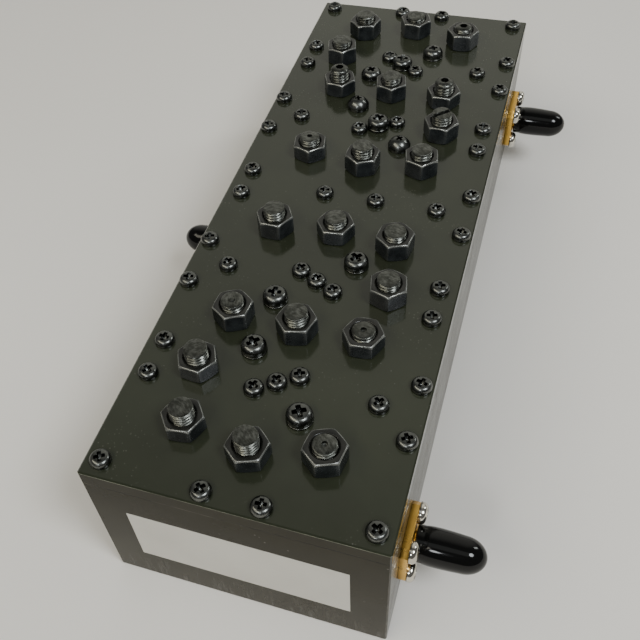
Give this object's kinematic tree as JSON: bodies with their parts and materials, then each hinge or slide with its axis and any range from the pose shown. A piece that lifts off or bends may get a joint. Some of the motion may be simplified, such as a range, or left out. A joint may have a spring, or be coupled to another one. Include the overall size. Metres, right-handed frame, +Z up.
{
  "type": "cavity duplexer filter",
  "caption": "Long rectangular cavity duplexer with a screwed lid, hex locked tuning screws, cross recess coupling screws and capped coaxial jacks on both sides.",
  "frame": {"origin": "middle of the underside", "axes": "+X across the body towards the side with two ports, +Y along the body away from the label, +Z up from the underside to the tuning screws"},
  "size_m": [0.0921, 0.1701, 0.0471],
  "materials": {
    "black_body": "satin",
    "black_lid": "satin",
    "label_film": "satin",
    "black_screws": "gloss",
    "black_nuts": "satin",
    "black_washers": "satin",
    "post_metal": "satin",
    "post_screws": "satin",
    "tap_wire": "satin",
    "white_ptfe": "matte",
    "nickel_screws": "gloss",
    "stud_steel": "satin",
    "gold_plate": "gloss",
    "cap_plastic": "gloss"
  },
  "bodies": {
    "body": {"housing": "black_body", "lid": "black_lid", "label": "label_film", "lid_screws": "black_screws", "lock_nuts": "black_nuts", "coupling_washers": "black_washers", "resonators": "post_metal", "resonator_screws": "post_screws", "coupling_probes": "tap_wire", "probe_bushes": "white_ptfe", "flange_screws": "nickel_screws", "coupling_screw_01": "black_screws", "coupling_screw_02": "black_screws", "coupling_screw_03": "black_screws", "coupling_screw_04": "black_screws", "coupling_screw_05": "black_screws", "coupling_screw_06": "black_screws", "coupling_screw_07": "black_screws", "coupling_screw_08": "black_screws", "coupling_screw_09": "black_screws", "coupling_screw_10": "black_screws", "far_jack": "gold_plate", "far_dielectric": "white_ptfe", "far_contact": "gold_plate", "far_tap": "tap_wire", "near_jack": "gold_plate", "near_dielectric": "white_ptfe", "near_contact": "gold_plate", "near_tap": "tap_wire", "common_jack": "gold_plate", "common_dielectric": "white_ptfe", "common_contact": "gold_plate", "common_tap": "tap_wire"},
    "tuning_screw_01": {"tuning_screw_01": "stud_steel"},
    "tuning_screw_02": {"tuning_screw_02": "stud_steel"},
    "tuning_screw_03": {"tuning_screw_03": "stud_steel"},
    "tuning_screw_04": {"tuning_screw_04": "stud_steel"},
    "tuning_screw_05": {"tuning_screw_05": "stud_steel"},
    "tuning_screw_06": {"tuning_screw_06": "stud_steel"},
    "tuning_screw_07": {"tuning_screw_07": "stud_steel"},
    "tuning_screw_08": {"tuning_screw_08": "stud_steel"},
    "tuning_screw_09": {"tuning_screw_09": "stud_steel"},
    "tuning_screw_10": {"tuning_screw_10": "stud_steel"},
    "tuning_screw_11": {"tuning_screw_11": "stud_steel"},
    "tuning_screw_12": {"tuning_screw_12": "stud_steel"},
    "tuning_screw_13": {"tuning_screw_13": "stud_steel"},
    "tuning_screw_14": {"tuning_screw_14": "stud_steel"},
    "tuning_screw_15": {"tuning_screw_15": "stud_steel"},
    "tuning_screw_16": {"tuning_screw_16": "stud_steel"},
    "tuning_screw_17": {"tuning_screw_17": "stud_steel"},
    "tuning_screw_18": {"tuning_screw_18": "stud_steel"},
    "iris_screw_1": {"iris_screw_1": "stud_steel"},
    "iris_screw_2": {"iris_screw_2": "stud_steel"},
    "iris_screw_3": {"iris_screw_3": "stud_steel"},
    "iris_screw_4": {"iris_screw_4": "stud_steel"},
    "far_dust_cap": {"far_dust_cap": "cap_plastic"},
    "near_dust_cap": {"near_dust_cap": "cap_plastic"},
    "common_dust_cap": {"common_dust_cap": "cap_plastic"}
  },
  "joints": [
    {"name": "tuning_screw_01_travel", "type": "slide", "parent": "body", "child": "tuning_screw_01", "axis": [0, 0, 1], "range_m": [-0.0017, 0.003]},
    {"name": "tuning_screw_02_travel", "type": "slide", "parent": "body", "child": "tuning_screw_02", "axis": [0, 0, 1], "range_m": [-0.0009, 0.003]},
    {"name": "tuning_screw_03_travel", "type": "slide", "parent": "body", "child": "tuning_screw_03", "axis": [0, 0, 1], "range_m": [-0.0012, 0.003]},
    {"name": "tuning_screw_04_travel", "type": "slide", "parent": "body", "child": "tuning_screw_04", "axis": [0, 0, 1], "range_m": [-0.0031, 0.003]},
    {"name": "tuning_screw_05_travel", "type": "slide", "parent": "body", "child": "tuning_screw_05", "axis": [0, 0, 1], "range_m": [-0.0015, 0.003]},
    {"name": "tuning_screw_06_travel", "type": "slide", "parent": "body", "child": "tuning_screw_06", "axis": [0, 0, 1], "range_m": [-0.0029, 0.003]},
    {"name": "tuning_screw_07_travel", "type": "slide", "parent": "body", "child": "tuning_screw_07", "axis": [0, 0, 1], "range_m": [-0.0015, 0.003]},
    {"name": "tuning_screw_08_travel", "type": "slide", "parent": "body", "child": "tuning_screw_08", "axis": [0, 0, 1], "range_m": [-0.0021, 0.003]},
    {"name": "tuning_screw_09_travel", "type": "slide", "parent": "body", "child": "tuning_screw_09", "axis": [0, 0, 1], "range_m": [-0.0017, 0.003]},
    {"name": "tuning_screw_10_travel", "type": "slide", "parent": "body", "child": "tuning_screw_10", "axis": [0, 0, 1], "range_m": [-0.002, 0.003]},
    {"name": "tuning_screw_11_travel", "type": "slide", "parent": "body", "child": "tuning_screw_11", "axis": [0, 0, 1], "range_m": [-0.0014, 0.003]},
    {"name": "tuning_screw_12_travel", "type": "slide", "parent": "body", "child": "tuning_screw_12", "axis": [0, 0, 1], "range_m": [-0.0011, 0.003]},
    {"name": "tuning_screw_13_travel", "type": "slide", "parent": "body", "child": "tuning_screw_13", "axis": [0, 0, 1], "range_m": [-0.0012, 0.003]},
    {"name": "tuning_screw_14_travel", "type": "slide", "parent": "body", "child": "tuning_screw_14", "axis": [0, 0, 1], "range_m": [-0.0019, 0.003]},
    {"name": "tuning_screw_15_travel", "type": "slide", "parent": "body", "child": "tuning_screw_15", "axis": [0, 0, 1], "range_m": [-0.0007, 0.003]},
    {"name": "tuning_screw_16_travel", "type": "slide", "parent": "body", "child": "tuning_screw_16", "axis": [0, 0, 1], "range_m": [-0.0025, 0.003]},
    {"name": "tuning_screw_17_travel", "type": "slide", "parent": "body", "child": "tuning_screw_17", "axis": [0, 0, 1], "range_m": [-0.0029, 0.003]},
    {"name": "tuning_screw_18_travel", "type": "slide", "parent": "body", "child": "tuning_screw_18", "axis": [0, 0, 1], "range_m": [-0.0008, 0.003]},
    {"name": "iris_screw_1_travel", "type": "slide", "parent": "body", "child": "iris_screw_1", "axis": [0, 0, 1], "range_m": [-0.0014, 0.003]},
    {"name": "iris_screw_2_travel", "type": "slide", "parent": "body", "child": "iris_screw_2", "axis": [0, 0, 1], "range_m": [-0.0022, 0.003]},
    {"name": "iris_screw_3_travel", "type": "slide", "parent": "body", "child": "iris_screw_3", "axis": [0, 0, 1], "range_m": [-0.0013, 0.003]},
    {"name": "iris_screw_4_travel", "type": "slide", "parent": "body", "child": "iris_screw_4", "axis": [0, 0, 1], "range_m": [-0.0025, 0.003]},
    {"name": "far_dust_cap_pull", "type": "slide", "parent": "body", "child": "far_dust_cap", "axis": [1, 0, 0], "range_m": [0, 0.014]},
    {"name": "near_dust_cap_pull", "type": "slide", "parent": "body", "child": "near_dust_cap", "axis": [1, 0, 0], "range_m": [0, 0.014]},
    {"name": "common_dust_cap_pull", "type": "slide", "parent": "body", "child": "common_dust_cap", "axis": [-1, 0, 0], "range_m": [0, 0.014]}
  ]
}
